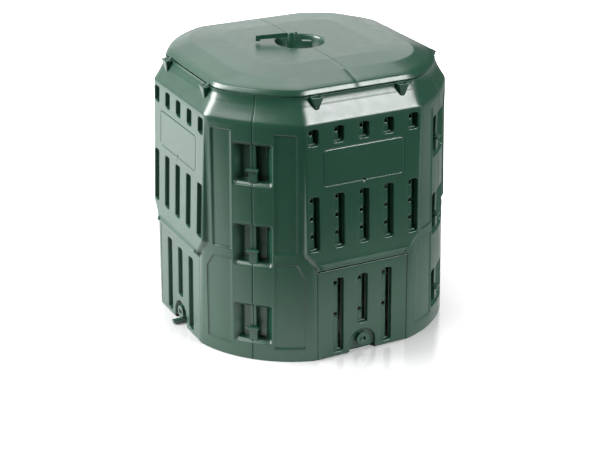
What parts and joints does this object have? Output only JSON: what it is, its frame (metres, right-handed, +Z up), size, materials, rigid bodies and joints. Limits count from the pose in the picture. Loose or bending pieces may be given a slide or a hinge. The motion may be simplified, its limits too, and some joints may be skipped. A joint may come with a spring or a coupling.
{
  "type": "garden compost bin",
  "caption": "Octagonal open-based garden composter of clipped plastic walls with vents, lower hatches, turn latches and a split hinged lid with a locking handle.",
  "frame": {"origin": "centre of the open base on the ground plane", "axes": "+Z up, -Y the front wall, lid seam along Y, lid hinges along the -X and +X walls"},
  "size_m": [0.8598, 0.815, 0.862],
  "materials": {
    "walls": "semi-gloss moulded polypropylene, dark green",
    "hatches": "semi-gloss moulded polypropylene, dark green",
    "lid": "semi-gloss moulded polypropylene, dark green",
    "small_parts": "semi-gloss moulded polypropylene, dark green"
  },
  "bodies": {
    "body": {"wall_front": "walls", "wall_right": "walls", "wall_back": "walls", "wall_left": "walls"},
    "hatch_front": {"hatch_front": "hatches"},
    "latch_front": {"latch_front": "small_parts", "latch_cam_front": "small_parts"},
    "clip_front_right_low": {"clip_front_right_low": "small_parts"},
    "clip_front_right_middle": {"clip_front_right_middle": "small_parts"},
    "clip_front_right_high": {"clip_front_right_high": "small_parts"},
    "hatch_right": {"hatch_right": "hatches"},
    "latch_right": {"latch_right": "small_parts", "latch_cam_right": "small_parts"},
    "clip_back_right_low": {"clip_back_right_low": "small_parts"},
    "clip_back_right_middle": {"clip_back_right_middle": "small_parts"},
    "clip_back_right_high": {"clip_back_right_high": "small_parts"},
    "hatch_back": {"hatch_back": "hatches"},
    "latch_back": {"latch_back": "small_parts", "latch_cam_back": "small_parts"},
    "clip_back_left_low": {"clip_back_left_low": "small_parts"},
    "clip_back_left_middle": {"clip_back_left_middle": "small_parts"},
    "clip_back_left_high": {"clip_back_left_high": "small_parts"},
    "hatch_left": {"hatch_left": "hatches"},
    "latch_left": {"latch_left": "small_parts", "latch_cam_left": "small_parts"},
    "clip_front_left_low": {"clip_front_left_low": "small_parts"},
    "clip_front_left_middle": {"clip_front_left_middle": "small_parts"},
    "clip_front_left_high": {"clip_front_left_high": "small_parts"},
    "lid_left": {"lid_left": "lid"},
    "lid_right": {"lid_right": "lid"},
    "lid_handle": {"lid_handle": "small_parts", "handle_retainer": "small_parts"}
  },
  "joints": [
    {"name": "hatch_front_swing", "type": "hinge", "parent": "body", "child": "hatch_front", "pos_m": [0, -0.3948, 0.272], "axis": [-1, 0, 0], "range_deg": [0, 70]},
    {"name": "latch_front_turn", "type": "hinge", "parent": "hatch_front", "child": "latch_front", "pos_m": [0, -0.40328, 0.03699], "axis": [0, -0.9998, 0.0195], "range_deg": [0, 90]},
    {"name": "clip_front_right_low_slide", "type": "slide", "parent": "body", "child": "clip_front_right_low", "axis": [0, 0, 1], "range_m": [0, 0.045]},
    {"name": "clip_front_right_middle_slide", "type": "slide", "parent": "body", "child": "clip_front_right_middle", "axis": [0, 0, 1], "range_m": [0, 0.045]},
    {"name": "clip_front_right_high_slide", "type": "slide", "parent": "body", "child": "clip_front_right_high", "axis": [0, 0, 1], "range_m": [0, 0.045]},
    {"name": "hatch_right_swing", "type": "hinge", "parent": "body", "child": "hatch_right", "pos_m": [0.3948, 0, 0.272], "axis": [0, -1, 0], "range_deg": [0, 70]},
    {"name": "latch_right_turn", "type": "hinge", "parent": "hatch_right", "child": "latch_right", "pos_m": [0.40328, 0, 0.03699], "axis": [0.9998, 0, 0.0195], "range_deg": [0, 90]},
    {"name": "clip_back_right_low_slide", "type": "slide", "parent": "body", "child": "clip_back_right_low", "axis": [0, 0, 1], "range_m": [0, 0.045]},
    {"name": "clip_back_right_middle_slide", "type": "slide", "parent": "body", "child": "clip_back_right_middle", "axis": [0, 0, 1], "range_m": [0, 0.045]},
    {"name": "clip_back_right_high_slide", "type": "slide", "parent": "body", "child": "clip_back_right_high", "axis": [0, 0, 1], "range_m": [0, 0.045]},
    {"name": "hatch_back_swing", "type": "hinge", "parent": "body", "child": "hatch_back", "pos_m": [0, 0.3948, 0.272], "axis": [1, 0, 0], "range_deg": [0, 70]},
    {"name": "latch_back_turn", "type": "hinge", "parent": "hatch_back", "child": "latch_back", "pos_m": [0, 0.40328, 0.03699], "axis": [0, 0.9998, 0.0195], "range_deg": [0, 90]},
    {"name": "clip_back_left_low_slide", "type": "slide", "parent": "body", "child": "clip_back_left_low", "axis": [0, 0, 1], "range_m": [0, 0.045]},
    {"name": "clip_back_left_middle_slide", "type": "slide", "parent": "body", "child": "clip_back_left_middle", "axis": [0, 0, 1], "range_m": [0, 0.045]},
    {"name": "clip_back_left_high_slide", "type": "slide", "parent": "body", "child": "clip_back_left_high", "axis": [0, 0, 1], "range_m": [0, 0.045]},
    {"name": "hatch_left_swing", "type": "hinge", "parent": "body", "child": "hatch_left", "pos_m": [-0.3948, 0, 0.272], "axis": [0, 1, 0], "range_deg": [0, 70]},
    {"name": "latch_left_turn", "type": "hinge", "parent": "hatch_left", "child": "latch_left", "pos_m": [-0.40328, 0, 0.03699], "axis": [-0.9998, 0, 0.0195], "range_deg": [0, 90]},
    {"name": "clip_front_left_low_slide", "type": "slide", "parent": "body", "child": "clip_front_left_low", "axis": [0, 0, 1], "range_m": [0, 0.045]},
    {"name": "clip_front_left_middle_slide", "type": "slide", "parent": "body", "child": "clip_front_left_middle", "axis": [0, 0, 1], "range_m": [0, 0.045]},
    {"name": "clip_front_left_high_slide", "type": "slide", "parent": "body", "child": "clip_front_left_high", "axis": [0, 0, 1], "range_m": [0, 0.045]},
    {"name": "lid_left_swing", "type": "hinge", "parent": "body", "child": "lid_left", "pos_m": [-0.364, 0, 0.7805], "axis": [0, -1, 0], "range_deg": [0, 90]},
    {"name": "lid_right_swing", "type": "hinge", "parent": "body", "child": "lid_right", "pos_m": [0.364, 0, 0.7805], "axis": [0, 1, 0], "range_deg": [0, 90]},
    {"name": "handle_turn", "type": "hinge", "parent": "lid_left", "child": "lid_handle", "pos_m": [-0.026, 0, 0.808], "axis": [0, 0, 1], "range_deg": [0, 90]}
  ]
}
